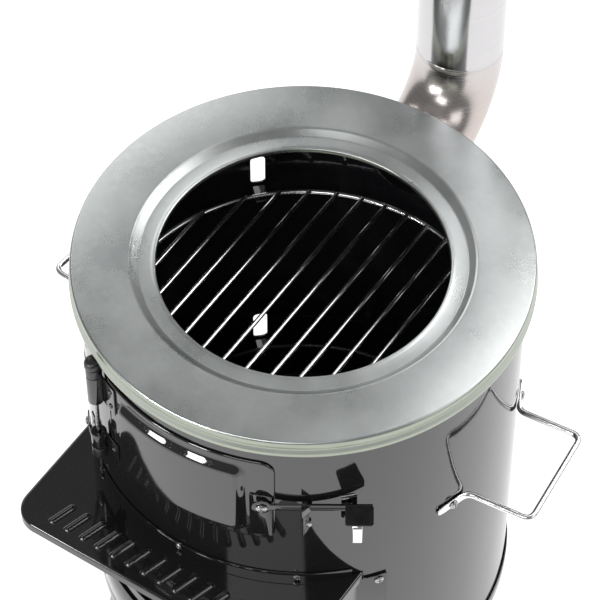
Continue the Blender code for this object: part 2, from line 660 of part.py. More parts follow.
def elbow():
    """A quarter bend from the collar up to the chimney, with a reduced spigot on top."""
    body = PIPE_R - 0.0003
    wall = PIPE_WALL
    centre = (CHIMNEY_D - BEND_R, FLUE_Z + BEND_R)
    path = [polar(FLUE_AZ, 0.2005, FLUE_Z)]
    path += [polar(FLUE_AZ, d, z) for d, z in arc(centre, -90, 0, 10, BEND_R)]
    radii = [body] * len(path)
    for z, radius in ((PIPE_LOW - 0.003, body), (PIPE_LOW - 0.0005, SPIGOT_R), (PIPE_LOW + SPIGOT_LENGTH, SPIGOT_R)):
        path.append(polar(FLUE_AZ, CHIMNEY_D, z))
        radii.append(radius)
    bm = bmesh.new()
    add_tube(bm, path, radii, PIPE_SEGMENTS, inner=[radius - wall for radius in radii])
    return make("flue_elbow", bm, "stainless")


def chimney_axis(z):
    return polar(FLUE_AZ, CHIMNEY_D, z)


def chimney_pipe(name, low):
    """One straight length: an open body with a reduced spigot that the next one slips over."""
    high = low + PIPE_LENGTH
    bead = high - 0.010
    profile = [(PIPE_R, low), (PIPE_R, bead - 0.0025), (PIPE_R + 0.0008, bead), (PIPE_R, bead + 0.0025)]
    profile += [(PIPE_R, high - 0.003), (SPIGOT_R, high - 0.0005), (SPIGOT_R, high + SPIGOT_LENGTH)]
    profile += [(SPIGOT_R - PIPE_WALL, high + SPIGOT_LENGTH), (SPIGOT_R - PIPE_WALL, high - 0.0005)]
    profile += [(PIPE_R - PIPE_WALL, high - 0.003), (PIPE_R - PIPE_WALL, low)]
    pipe = lathe(name, profile, "stainless", centre=chimney_axis(0).xy, segments=PIPE_SEGMENTS)
    return set_origin(pipe, chimney_axis(low))


def chimney_cap(low):
    """A rain cap: a band over the top spigot, three struts and a shallow cone."""
    centre = chimney_axis(0).xy
    inner = PIPE_R - PIPE_WALL
    band_profile = [(PIPE_R, low), (PIPE_R, low + 0.020), (inner, low + 0.020), (inner, low)]
    cap = lathe("chimney_cap", band_profile, "stainless", centre=centre, segments=PIPE_SEGMENTS)
    cone_low = low + 0.050
    cone_profile = [(0.062, cone_low), (0.0625, cone_low + 0.001), (0, cone_low + 0.024)]
    cone_profile += [(0, cone_low + 0.0228), (0.0605, cone_low)]
    cone = lathe("cone", cone_profile, "stainless", centre=centre, segments=PIPE_SEGMENTS)
    struts = []
    for k in range(3):
        frame = Matrix.Translation(chimney_axis(0)) @ local_frame(60 + 120 * k)
        low_corner, high_corner = (-0.005, inner - 0.0002, low + 0.004), (0.005, PIPE_R + 0.0004, cone_low + 0.0085)
        struts.append(block("strut", low_corner, high_corner, "stainless", frame))
    combine(cap, struts + [cone], "UNION")
    return set_origin(cap, chimney_axis(low))


# ---------------------------------------------------------------- folding legs
def leg(place, azimuth):
    """A channel that hangs from its bracket and folds inwards under the base."""
    frame = local_frame(azimuth)
    pivot = frame @ Vector((0, LEG_PIVOT_R, LEG_PIVOT_Z))
    splay = Matrix.Translation(pivot) @ local_frame(azimuth) @ Matrix.Rotation(LEG_SPLAY, 4, "X")
    reach = (LEG_HEIGHT + LEG_PIVOT_Z) / math.cos(LEG_SPLAY) - 0.0015
    half, depth = LEG_HALF, 0.006
    channel = [(-half, -depth), (-half + SHEET, -depth), (-half + SHEET, depth - SHEET)]
    channel += [(half - SHEET, depth - SHEET), (half - SHEET, -depth), (half, -depth), (half, depth), (-half, depth)]
    piece = prism("leg_" + place, channel, -reach, 0.008, "enamel", frame=splay)
    toe = LEG_PIVOT_R + (LEG_HEIGHT + LEG_PIVOT_Z) * math.tan(LEG_SPLAY)
    foot = block("foot", (-half, toe - 0.012, -LEG_HEIGHT), (half, toe + 0.014, -LEG_HEIGHT + SHEET), "enamel", frame)
    combine(piece, [foot], "UNION")
    reach_out = frame.to_3x3() @ Vector((half + 0.01, 0, 0))
    bore = rod_between("bore", pivot - reach_out, pivot + reach_out, 0.0031, "enamel", 16)
    combine(piece, [bore], "DIFFERENCE")
    return set_origin(piece, pivot)


def leg_hardware(place, azimuth):
    """A clevis bracket under the base, and the pin that its leg turns on."""
    half = LEG_HALF + 0.0005
    frame = local_frame(azimuth)
    clevis = [(-half - SHEET, -0.021), (-half, -0.021), (-half, -GAP - SHEET), (half, -GAP - SHEET)]
    clevis += [(half, -0.021), (half + SHEET, -0.021), (half + SHEET, -GAP), (-half - SHEET, -GAP)]
    bracket = prism("leg_bracket_" + place, clevis, LEG_PIVOT_R - 0.011, LEG_PIVOT_R + 0.011, "enamel",
                    (0, 2, 1), frame)
    pivot = frame @ Vector((0, LEG_PIVOT_R, LEG_PIVOT_Z))
    along = frame.to_3x3() @ Vector((1, 0, 0))
    bore = rod_between("bore", pivot - along * 0.03, pivot + along * 0.03, 0.0030, "enamel", 16)
    combine(bracket, [bore], "DIFFERENCE")
    turn = Matrix.Translation(pivot) @ along.to_track_quat("Z", "Y").to_matrix().to_4x4()
    end = half + SHEET + GAP
    profile = [(0, -end - 0.002), (0.0048, -end - 0.002), (0.0048, -end), (0.0026, -end), (0.0026, end)]
    profile += [(0.0048, end), (0.0048, end + 0.002), (0, end + 0.002)]
    lathe("leg_pin_" + place, profile, "fastener", segments=16, frame=turn)


# ---------------------------------------------------------------- assembly
def build():
    clear_scene()
    drum_shell()
    drum_base()
    set_origin(pot_ring(), (0, 0, RING_TOP))
    grate("cook_grate", COOK_GRATE_Z, COOK_PITCH, "chrome")
    grate("fire_grate", FIRE_GRATE_Z, FIRE_PITCH, "black_fitting")
    fuel_door()
    hinge_parts()
    latch_parts()
    front_shelf()
    wing_parts()
    ash_drawer()
    drawer_rail("drawer_rail_left", -1)
    drawer_rail("drawer_rail_right", 1)
    handle_parts()
    flue_collar()
    elbow()
    for k, name in enumerate(("pipe_lower", "pipe_middle", "pipe_upper")[:PIPE_COUNT]):
        chimney_pipe(name, PIPE_LOW + k * PIPE_LENGTH)
    chimney_cap(PIPE_LOW + PIPE_COUNT * PIPE_LENGTH)
    for place, azimuth in LEG_AZIMUTHS.items():
        leg(place, azimuth)
        leg_hardware(place, azimuth)


build()
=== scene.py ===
"""Rocket stove: the looks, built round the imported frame.

Metres, +Z up, the stove's front faces -Y. An azimuth is measured from the front, positive
towards +X. Sizes come from the frame's boxes; the rest are named below.
"""
import json
import math

import bmesh
import bpy
from mathutils import Matrix, Vector


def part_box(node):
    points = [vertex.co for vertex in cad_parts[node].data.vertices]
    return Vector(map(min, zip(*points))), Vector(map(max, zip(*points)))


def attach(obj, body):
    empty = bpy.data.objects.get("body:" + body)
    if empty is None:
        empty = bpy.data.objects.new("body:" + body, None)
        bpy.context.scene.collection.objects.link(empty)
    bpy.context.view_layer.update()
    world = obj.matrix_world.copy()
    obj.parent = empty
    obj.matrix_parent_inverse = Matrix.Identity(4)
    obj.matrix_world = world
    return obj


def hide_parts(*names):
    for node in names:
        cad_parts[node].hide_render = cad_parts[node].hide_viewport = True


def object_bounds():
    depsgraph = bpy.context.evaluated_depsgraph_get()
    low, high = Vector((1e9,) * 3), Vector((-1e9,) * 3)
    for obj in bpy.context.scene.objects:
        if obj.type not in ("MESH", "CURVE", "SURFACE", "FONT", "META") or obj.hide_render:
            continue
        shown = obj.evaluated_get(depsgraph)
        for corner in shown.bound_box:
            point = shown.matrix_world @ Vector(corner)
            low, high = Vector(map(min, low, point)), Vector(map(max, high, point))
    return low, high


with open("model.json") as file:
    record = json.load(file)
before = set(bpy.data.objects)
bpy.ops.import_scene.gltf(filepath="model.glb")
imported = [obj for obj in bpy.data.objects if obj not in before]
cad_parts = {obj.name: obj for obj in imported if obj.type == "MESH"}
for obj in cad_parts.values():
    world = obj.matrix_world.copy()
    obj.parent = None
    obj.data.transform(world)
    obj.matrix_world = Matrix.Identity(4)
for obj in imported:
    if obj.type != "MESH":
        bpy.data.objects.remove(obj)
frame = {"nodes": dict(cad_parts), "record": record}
cad_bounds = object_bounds()

# ---------------------------------------------------------------- sizes from the frame
SHEET = 0.0015
ROUND_STEPS = 240                       # facets round the drum
ring_low, ring_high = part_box("pot_ring")
shell_low, shell_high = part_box("drum_shell")
base_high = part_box("drum_base")[1]
door_low, door_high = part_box("fuel_door")
shelf_low, shelf_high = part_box("front_shelf")
grate_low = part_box("cook_grate")[0]
fire_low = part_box("fire_grate")[0]
pipe_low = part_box("pipe_lower")[0]
elbow_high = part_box("flue_elbow")[1]

DRUM_R = base_high.x - SHEET - 0.0005   # outer radius of the drum wall
DRUM_TOP = shell_high.z
RING_R = ring_high.x - 0.0005
RING_TOP = ring_high.z
RING_HOLE_R, RING_STEP_R, RING_RECESS = 0.129, 0.151, 0.0055
GRATE_R, RIM_WIRE, BAR_WIRE = 0.178, 0.00225, 0.0021
DOOR_LEFT, DOOR_RIGHT = -24.5, 26.5     # azimuths of the door's edges
DOOR_INNER = DRUM_R + 0.0007
MOUTH_AZ, MOUTH_LOW, MOUTH_HIGH = 38.0, 0.078, 0.196        # the feed mouth's opening
DRAWER_AZ, DRAWER_LOW, DRAWER_HIGH = 36.0, 0.016, 0.058     # the ash drawer's opening
SHELF_TOP = 0.213
SHELF_HALF = shelf_high.x
SHELF_FRONT = -shelf_low.y
HINGE_AZ, HINGE_R = -27.5, 0.2062
KNUCKLE_R, KNUCKLE_BORE = 0.0072, 0.0026
LATCH_AZ, LATCH_D, LATCH_Z, LATCH_PIVOT_T = 33.0, 0.2015, 0.328, -0.034
KEEPER_T = 0.005
HANDLE_AZ, HANDLE_Z, HANDLE_HALF, HANDLE_OUT, HANDLE_WIRE = 95.0, 0.259, 0.052, 0.256, 0.003
FLUE_AZ, FLUE_Z, FLUE_HOLE_R, CHIMNEY_D = 183.0, 0.358, 0.0436, 0.285
BEND_R, PIPE_R, SPIGOT_R, PIPE_WALL = 0.072, 0.0407, 0.0395, 0.0008
REST_AZIMUTHS = (-134.0, -45.0, 45.0, 134.0)    # slots and tabs that carry the grates
FLOOR_Z = cad_bounds[0].z

CAMERA_AZ, CAMERA_PITCH = 33.5, 50.82   # degrees round from the front, and down
CAMERA_OUT, CAMERA_UP = 1.6847, 2.0058  # from the ring's centre: level distance and height
CAMERA_SIDE = -0.0028
CAMERA_LENS = 180.2


# ---------------------------------------------------------------- materials
def rgba(colour):
    return (*colour, 1.0)


class Finish:
    """A Principled material whose colour, roughness and bump come from object-space noise."""

    def __init__(self, name, metallic=0.0, ior=1.5):
        self.material = bpy.data.materials.new(name)
        self.material.use_nodes = True
        self.nodes = self.material.node_tree.nodes
        self.links = self.material.node_tree.links
        self.shader = self.nodes["Principled BSDF"]
        self.shader.inputs["Metallic"].default_value = metallic
        self.shader.inputs["IOR"].default_value = ior
        self.place = self.nodes.new("ShaderNodeTexCoord").outputs["Object"]

    def noise(self, scale, detail=3.0, stretch=None, seed=0.0):
        """Noise in object space, stretched by per-axis factors where given."""
        mapping = self.nodes.new("ShaderNodeMapping")
        mapping.inputs["Scale"].default_value = stretch or (1, 1, 1)
        mapping.inputs["Location"].default_value = (seed, seed, seed)
        texture = self.nodes.new("ShaderNodeTexNoise")
        texture.inputs["Scale"].default_value = scale
        texture.inputs["Detail"].default_value = detail
        self.links.new(self.place, mapping.inputs["Vector"])
        self.links.new(mapping.outputs["Vector"], texture.inputs["Vector"])
        return texture.outputs["Fac"]

    def remap(self, value, low, high, out_low, out_high):
        node = self.nodes.new("ShaderNodeMapRange")
        sockets = ("From Min", "From Max", "To Min", "To Max")
        for socket, number in zip(sockets, (low, high, out_low, out_high)):
            node.inputs[socket].default_value = number
        self.links.new(value, node.inputs["Value"])
        return node.outputs["Result"]

    def blend(self, factor, first, second):
        """Mix two colours, each a tuple or a socket."""
        node = self.nodes.new("ShaderNodeMix")
        node.data_type = "RGBA"
        self.links.new(factor, node.inputs["Factor"])
        for socket, colour in ((node.inputs[6], first), (node.inputs[7], second)):
            if isinstance(colour, tuple):
                socket.default_value = rgba(colour)
            else:
                self.links.new(colour, socket)
        return node.outputs[2]

    def height(self):
        """The height of a point in the row frame."""
        node = self.nodes.new("ShaderNodeSeparateXYZ")
        self.links.new(self.place, node.inputs["Vector"])
        return node.outputs["Z"]

    def upward(self):
        """How far the surface faces up, from -1 to 1."""
        geometry = self.nodes.new("ShaderNodeNewGeometry")
        node = self.nodes.new("ShaderNodeSeparateXYZ")
        self.links.new(geometry.outputs["True Normal"], node.inputs["Vector"])
        return node.outputs["Z"]

    def add(self, first, second, factor=1.0):
        node = self.nodes.new("ShaderNodeMath")
        node.operation = "MULTIPLY_ADD"
        self.links.new(second, node.inputs[0])
        node.inputs[1].default_value = factor
        self.links.new(first, node.inputs[2])
        return node.outputs[0]

    def colour(self, socket):
        self.links.new(socket, self.shader.inputs["Base Color"])

    def roughness(self, socket):
        self.links.new(socket, self.shader.inputs["Roughness"])

    def bump(self, socket, distance, strength=1.0):
        node = self.nodes.new("ShaderNodeBump")
        node.inputs["Distance"].default_value = distance
        node.inputs["Strength"].default_value = strength
        self.links.new(socket, node.inputs["Height"])
        self.links.new(node.outputs["Normal"], self.shader.inputs["Normal"])


def enamel_finish():
    """Glossy black vitreous enamel: slow waves, fine orange peel and a few dull specks."""
    finish = Finish("black_enamel", ior=1.78)
    slow = finish.noise(14, 2)
    finish.colour(finish.blend(slow, (0.0055, 0.0055, 0.0062), (0.011, 0.011, 0.012)))
    specks = finish.remap(finish.noise(900, 1, seed=3.0), 0.66, 0.74, 0.0, 0.22)
    finish.roughness(finish.add(finish.remap(slow, 0.3, 0.7, 0.035, 0.075), specks))
    peel = finish.noise(260, 2, seed=1.0)
    finish.bump(finish.add(finish.noise(22, 2, seed=2.0), peel, 0.035), 0.00035, 0.35)
    return finish.material


def inner_enamel_finish():
    """The same enamel inside the fire space, duller."""
    finish = Finish("fired_enamel", ior=1.6)
    mottle = finish.noise(30, 4)
    finish.colour(finish.blend(mottle, (0.006, 0.006, 0.0075), (0.014, 0.014, 0.016)))
    finish.roughness(finish.remap(mottle, 0.3, 0.7, 0.05, 0.12))
    finish.bump(finish.noise(180, 3), 0.0002, 0.5)
    return finish.material


def zinc_finish():
    """Zinc-plated sheet: cloudy grey faces, and painted shade that makes the faces which do not face up, such
    as the turned-down edge, darker and yellow-green.
    """
    finish = Finish("zinc_plate", metallic=1.0)
    clouds = finish.noise(16, 5)
    spangle = finish.noise(170, 3, seed=4.0)
    face = finish.blend(finish.remap(clouds, 0.3, 0.72, 0, 1), (0.50, 0.525, 0.52), (0.64, 0.665, 0.66))
    face = finish.blend(finish.remap(spangle, 0.45, 0.8, 0.0, 0.35), face, (0.70, 0.72, 0.72))
    # painted shade: faces that turn away from up get the darker yellow-green colour
    side = finish.remap(finish.upward(), 0.25, 0.85, 1.0, 0.0)
    finish.colour(finish.blend(side, face, (0.36, 0.39, 0.325)))
    rough = finish.remap(clouds, 0.3, 0.7, 0.23, 0.33)
    finish.roughness(finish.add(rough, finish.noise(420, 2, seed=5.0), 0.03))
    scuffs = finish.noise(600, 2, stretch=(1.0, 0.06, 1.0), seed=6.0)
    finish.bump(finish.add(finish.noise(90, 4, seed=7.0), scuffs, 0.25), 0.0001, 0.4)
    return finish.material


def chrome_finish():
    """Bright plated wire with faint draw marks."""
    finish = Finish("plated_wire", metallic=1.0)
    marks = finish.noise(240, 3)
    finish.colour(finish.blend(marks, (0.78, 0.78, 0.80), (0.93, 0.93, 0.94)))
    finish.roughness(finish.remap(marks, 0.3, 0.7, 0.12, 0.24))
    finish.bump(finish.noise(700, 2), 0.00006, 0.5)
    return finish.material


def stainless_finish(name, tint_low, tint_high, fade):
    """Tube steel with hoop-wise polish lines; fade, the height range of a warm mottled painted reflection,
    also dulls it.
    """
    finish = Finish(name, metallic=1.0)
    lines = finish.noise(22, 4, stretch=(0.4, 0.4, 70.0))
    plain = finish.blend(lines, (0.53, 0.52, 0.53), (0.63, 0.62, 0.63))
    if fade:
        # painted reflection: a warm mottled colour over the fade's height range
        warm = finish.blend(finish.noise(26, 3, seed=8.0), tint_low, tint_high)
        plain = finish.blend(finish.remap(finish.height(), fade[0], fade[1], 0.75, 0.0), plain, warm)
    finish.colour(plain)
    smooth_end, rough_end = (0.20, 0.30) if fade else (0.06, 0.13)
    finish.roughness(finish.remap(lines, 0.3, 0.7, smooth_end, rough_end))
    finish.bump(finish.add(lines, finish.noise(12, 2, seed=9.0), 1.6), 0.00008, 0.5)
    return finish.material


def fastener_finish():
    """Zinc-plated screws and pins with dark stains at random."""
    finish = Finish("plated_fastener", metallic=1.0)
    stains = finish.noise(500, 3)
    finish.colour(finish.blend(stains, (0.26, 0.26, 0.265), (0.60, 0.60, 0.60)))
    finish.roughness(finish.remap(stains, 0.3, 0.7, 0.18, 0.36))
    finish.bump(finish.noise(1600, 2), 0.00005, 0.5)
    return finish.material


def fitting_finish():
    """Semi-matt black paint on bent steel fittings; on the fire grate the black is painted shade."""
    finish = Finish("black_fitting_paint", ior=1.6)
    patches = finish.noise(120, 3)
    finish.colour(finish.blend(patches, (0.008, 0.008, 0.008), (0.020, 0.020, 0.020)))
    finish.roughness(finish.remap(patches, 0.3, 0.7, 0.22, 0.38))
    finish.bump(finish.noise(900, 2), 0.00008, 0.6)
    return finish.material


def floor_finish():
    finish = Finish("studio_floor")
    finish.colour(finish.blend(finish.noise(3, 2), (0.60, 0.60, 0.60), (0.62, 0.62, 0.62)))
    finish.shader.inputs["Roughness"].default_value = 0.65
    finish.shader.inputs["Emission Color"].default_value = (1, 1, 1, 1)
    finish.shader.inputs["Emission Strength"].default_value = 0.80
    return finish.material


ENAMEL = enamel_finish()
INNER_ENAMEL = inner_enamel_finish()
ZINC = zinc_finish()
CHROME = chrome_finish()
STAINLESS = stainless_finish("polished_stainless", None, None, None)
# the elbow's warm mottled colours low on the bend are a painted reflection
ELBOW_STEEL = stainless_finish("elbow_stainless", (0.58, 0.49, 0.44), (0.44, 0.35, 0.30),
                               (FLUE_Z, RING_TOP + 0.045))
FASTENER = fastener_finish()
FITTING = fitting_finish()


# ---------------------------------------------------------------- mesh helpers
def polar(azimuth, radius, z):
    a = math.radians(azimuth)
    return Vector((radius * math.sin(a), -radius * math.cos(a), z))


def local_frame(azimuth):
    """Axes of a plane square to an azimuth: along it, out of it, and up."""
    a = math.radians(azimuth)
    along = Vector((math.cos(a), math.sin(a), 0))
    outward = Vector((math.sin(a), -math.cos(a), 0))
    return Matrix((along, outward, Vector((0, 0, 1)))).transposed().to_4x4()


def facing(point, direction):
    """A frame at a point whose Z axis looks along a direction."""
    return Matrix.Translation(point) @ Vector(direction).to_track_quat("Z", "Y").to_matrix().to_4x4()


def smooth(mesh, degrees=32):
    mesh.shade_smooth()
    mesh.set_sharp_from_angle(angle=math.radians(degrees))


def place(name, bm, material, body, nodes=(), sharp=32):
    """Make a piece from a bmesh, ride it on a body, and let it stand for CAD nodes.

    A cutter and the floor have no body.
    """
    bmesh.ops.recalc_face_normals(bm, faces=bm.faces)
    mesh = bpy.data.meshes.new(name)
    bm.to_mesh(mesh)
    bm.free()
    mesh.materials.append(material)
    smooth(mesh, sharp)
    piece = bpy.data.objects.new(name, mesh)
    bpy.context.scene.collection.objects.link(piece)
    if body is None:
        return piece
    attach(piece, body)
    if nodes:
        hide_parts(*nodes)
    return piece


def cut(piece, cutter):
    """Subtract a helper piece with an exact Boolean, then remove the helper."""
    modifier = piece.modifiers.new("boolean", "BOOLEAN")
    modifier.operation = "DIFFERENCE"
    modifier.solver = "EXACT"
    modifier.object = cutter
    bpy.context.view_layer.update()
    evaluated = piece.evaluated_get(bpy.context.evaluated_depsgraph_get())
    result = bpy.data.meshes.new_from_object(evaluated)
    piece.modifiers.clear()
    piece.data = result
    bpy.data.objects.remove(cutter, do_unlink=True)
    smooth(piece.data)


def round_corner(points, k, radius, limit, steps):
    """The curve that rounds corner k, over at most a share (limit) of its shorter side."""
    here = Vector(points[k])
    before, after = Vector(points[k - 1]) - here, Vector(points[(k + 1) % len(points)]) - here
    back = min(radius, before.length * limit, after.length * limit)
    start, end = here + before.normalized() * back, here + after.normalized() * back
    shares = [s / steps for s in range(steps + 1)]
    return [start * (1 - f) ** 2 + here * 2 * f * (1 - f) + end * f ** 2 for f in shares]


def fillet(points, radius, steps=4, closed=True):
    """Round the corners of a 2-D outline."""
    result = []
    count = len(points)
    for k, corner in enumerate(points):
        if not closed and k in (0, count - 1):
            result.append(corner)
            continue
        result += [tuple(point) for point in round_corner(points, k, radius, 0.45, steps)]
    return result


def revolve(bm, profile, segments=ROUND_STEPS, where=None):
    """Turn a closed (radius, height) profile about the Z axis of a frame."""
    where = where or Matrix.Identity(4)
    rings = []
    for radius, height in profile:
        if radius < 1e-6:
            rings.append([bm.verts.new(where @ Vector((0, 0, height)))])
            continue
        rings.append([bm.verts.new(where @ Vector((x, y, height))) for x, y in circle(radius, segments)])
    for low, high in zip(rings, rings[1:] + rings[:1]):
        if len(low) == 1 and len(high) == 1:
            continue
        for k in range(segments):
            n = (k + 1) % segments
            corners = [low[k % len(low)], low[n % len(low)], high[n % len(high)], high[k % len(high)]]
            bm.faces.new(list(dict.fromkeys(corners)))
    return bm


def sweep(bm, path, section, closed=False):
    """Sweep section(k), a list of (side, up) offsets, along a path with a steady frame."""
    count = len(path)
    rings = []
    normal = None
    for k, point in enumerate(path):
        before = path[k - 1] if closed or k else path[0]
        after = path[(k + 1) % count] if closed or k < count - 1 else path[-1]
        tangent = (after - before).normalized()
        if normal is None:
            helper = Vector((0, 0, 1)) if abs(tangent.z) < 0.9 else Vector((1, 0, 0))
            normal = tangent.cross(helper).normalized()
        normal = (normal - tangent * normal.dot(tangent)).normalized()
        up = normal.cross(tangent)
        rings.append([bm.verts.new(point + normal * side + up * rise) for side, rise in section(k)])
    pairs = list(zip(rings, rings[1:])) + ([(rings[-1], rings[0])] if closed else [])
    for low, high in pairs:
        for s in range(len(low)):
            n = (s + 1) % len(low)
            bm.faces.new((low[s], low[n], high[n], high[s]))
    if not closed:
        bm.faces.new(rings[0])
        bm.faces.new(rings[-1][::-1])
    return bm


def circle(radius, sides):
    turns = [2 * math.pi * s / sides for s in range(sides)]
    return [(radius * math.cos(a), radius * math.sin(a)) for a in turns]


def wire(bm, path, radius, sides=16, closed=False):
    """A round wire; open ends are rounded off."""
    if closed:
        return sweep(bm, path, lambda k: circle(radius, sides), closed=True)
    first, last = (path[0] - path[1]).normalized(), (path[-1] - path[-2]).normalized()
    caps = (0.98, 0.8, 0.45)
    points, radii = [], []
    for scale in caps[::-1]:
        points.append(path[0] + first * radius * math.sqrt(1 - scale * scale))
        radii.append(radius * scale)
    points += list(path)
    radii += [radius] * len(path)
    for scale in caps:
        points.append(path[-1] + last * radius * math.sqrt(1 - scale * scale))
        radii.append(radius * scale)
    return sweep(bm, points, lambda k: circle(radii[k], sides))


def add_prism(bm, outline, low, high, order=(0, 1, 2), where=None):
    """Extrude a 2-D outline; order says which axes its points and its depth run along."""
    where = where or Matrix.Identity(4)
    layers = []
    for level in (low, high):
        layer = []
        for a, b in outline:
            raw = (a, b, level)
            layer.append(bm.verts.new(where @ Vector([raw[order.index(axis)] for axis in range(3)])))
        layers.append(layer)
    for k in range(len(outline)):
        n = (k + 1) % len(outline)
        bm.faces.new((layers[0][k], layers[0][n], layers[1][n], layers[1][k]))
    bm.faces.new(layers[0][::-1])
    bm.faces.new(layers[1])
    return bm


def soften(piece, width, segments=3, angle=35):
    """Round the edges of a piece with a bevel."""
    bevel = piece.modifiers.new("edges", "BEVEL")
    bevel.width = width
    bevel.segments = segments
    bevel.limit_method = "ANGLE"
    bevel.angle_limit = math.radians(angle)
    bevel.harden_normals = True
    return piece


def rectangle(x0, x1, y0, y1, corner, steps=8):
    return fillet([(x0, y0), (x1, y0), (x1, y1), (x0, y1)], corner, steps)


def strap(bm, path, half_width, half_thick=0.0007, corner=0.0007, steps=3):
    """A flat strap along a path that stays in an upright plane."""
    outline = rectangle(-half_thick, half_thick, -half_width, half_width, corner, steps)
    section = [(across, through) for through, across in outline]
    return sweep(bm, path, lambda k: section)


def add_shell_grid(bm, columns, rows, surface, thickness):
    """A closed sheet from surface(i, j, depth), which gives a point at a depth below the outside."""
    sides = []
    for depth in (0, thickness):
        sides.append([[bm.verts.new(surface(i, j, depth)) for j in range(rows + 1)]
                      for i in range(columns + 1)])
    for i in range(columns):
        for j in range(rows):
            for side in sides:
                bm.faces.new((side[i][j], side[i + 1][j], side[i + 1][j + 1], side[i][j + 1]))
    out, back = sides
    for i in range(columns):
        for j in (0, rows):
            bm.faces.new((out[i][j], out[i + 1][j], back[i + 1][j], back[i][j]))
    for j in range(rows):
        for i in (0, columns):
            bm.faces.new((out[i][j], out[i][j + 1], back[i][j + 1], back[i][j]))
    return bm


def radial_normals(piece):
    """Give the faces of a cut cylinder the true radial normals, so that its gloss stays even."""
    mesh = piece.data
    normals = [Vector(corner.vector) for corner in mesh.corner_normals]
    for face in mesh.polygons:
        middle = Vector((face.center.x, face.center.y, 0)).normalized()
        turned = face.normal.dot(middle)
        if abs(turned) < 0.999:
            continue
        for loop in face.loop_indices:
            point = mesh.vertices[mesh.loops[loop].vertex_index].co
            radial = Vector((point.x, point.y, 0)).normalized()
            normals[loop] = radial if turned > 0 else -radial
    mesh.normals_split_custom_set(normals)


def ease(value):
    value = min(max(value, 0.0), 1.0)
    return value * value * (3 - 2 * value)


# ---------------------------------------------------------------- drum
def drum_wall():
    """The enamelled wall with its beaded rim, its openings and the tabs that carry the grates."""
    inner = DRUM_R - SHEET
    low = shell_low.z
    bead = DRUM_R + 0.0018
    profile = [(inner, low), (DRUM_R, low), (DRUM_R, DRUM_TOP - 0.0070), (bead, DRUM_TOP - 0.0052)]
    profile += [(bead, DRUM_TOP - 0.0010), (DRUM_R + 0.0006, DRUM_TOP)]
    profile += [(inner + 0.0006, DRUM_TOP), (inner, DRUM_TOP - 0.001)]
    bm = revolve(bmesh.new(), profile)
    wall = place("drum_wall", bm, ENAMEL, "stove_body", ["drum_shell"])
    cuts = bmesh.new()
    edge = 0.010
    left = polar(DOOR_LEFT + 3, DRUM_R, 0).x
    right = polar(DOOR_RIGHT - 3.5, DRUM_R, 0).x
    window = rectangle(left, right, door_low.z + edge, door_high.z - edge, 0.010)
    add_prism(cuts, window, -0.22, -0.14, (0, 2, 1))
    mouth = polar(MOUTH_AZ, DRUM_R, 0).x
    add_prism(cuts, rectangle(-mouth, mouth, MOUTH_LOW, MOUTH_HIGH, 0.010), -0.22, -0.12, (0, 2, 1))
    drawer = polar(DRAWER_AZ, DRUM_R, 0).x
    add_prism(cuts, rectangle(-drawer, drawer, DRAWER_LOW, DRAWER_HIGH, 0.004), -0.22, -0.12, (0, 2, 1))
    flue = [(0, 0), (FLUE_HOLE_R, 0), (FLUE_HOLE_R, 0.05), (0, 0.05)]
    revolve(cuts, flue, 64, facing(polar(FLUE_AZ, 0.165, FLUE_Z), polar(FLUE_AZ, 1, 0)))
    rims = (grate_low.z + RIM_WIRE, fire_low.z + RIM_WIRE)
    for azimuth in REST_AZIMUTHS:
        for rim in rims:
            slot = rectangle(-0.007, 0.007, rim - 0.0015, rim + 0.0335, 0.0045)
            add_prism(cuts, slot, DRUM_R - 0.008, DRUM_R + 0.008, (0, 2, 1), local_frame(azimuth))
    cut(wall, place("drum_cuts", cuts, ENAMEL, None))
    radial_normals(wall)
    wall.data.materials.append(INNER_ENAMEL)
    for face in wall.data.polygons:
        radial = Vector((face.center.x, face.center.y, 0)).normalized()
        if face.normal.dot(radial) < -0.9:
            face.material_index = 1

    bm = bmesh.new()
    for azimuth in REST_AZIMUTHS:
        where = local_frame(azimuth)
        for rim in rims:
            top = rim - RIM_WIRE - 0.0003
            bent = [(inner + 0.0004, top - 0.012), (inner - 0.0012, top - 0.010)]
            bent += [(inner - 0.0012, top - 0.0008), (inner - 0.0235, top - 0.0008)]
            path = [where @ Vector((0, d, z)) for d, z in fillet(bent, 0.0035, 5, closed=False)]
            strap(bm, path, 0.0062)
    place("grate_tabs", bm, ENAMEL, "stove_body", sharp=50)


def drum_base():
    """The pan that closes the drum below; its corners on the axis stay square."""
    outer = base_high.x
    top = base_high.z
    profile = [(0, 0), (outer, 0), (outer, top), (outer - SHEET, top), (outer - SHEET, SHEET), (0, SHEET)]
    rounded = [(0, 0)] + fillet(profile, 0.0014, 4)[5:-5] + [(0, SHEET)]
    place("base_pan", revolve(bmesh.new(), rounded), ENAMEL, "stove_body", ["drum_base"])


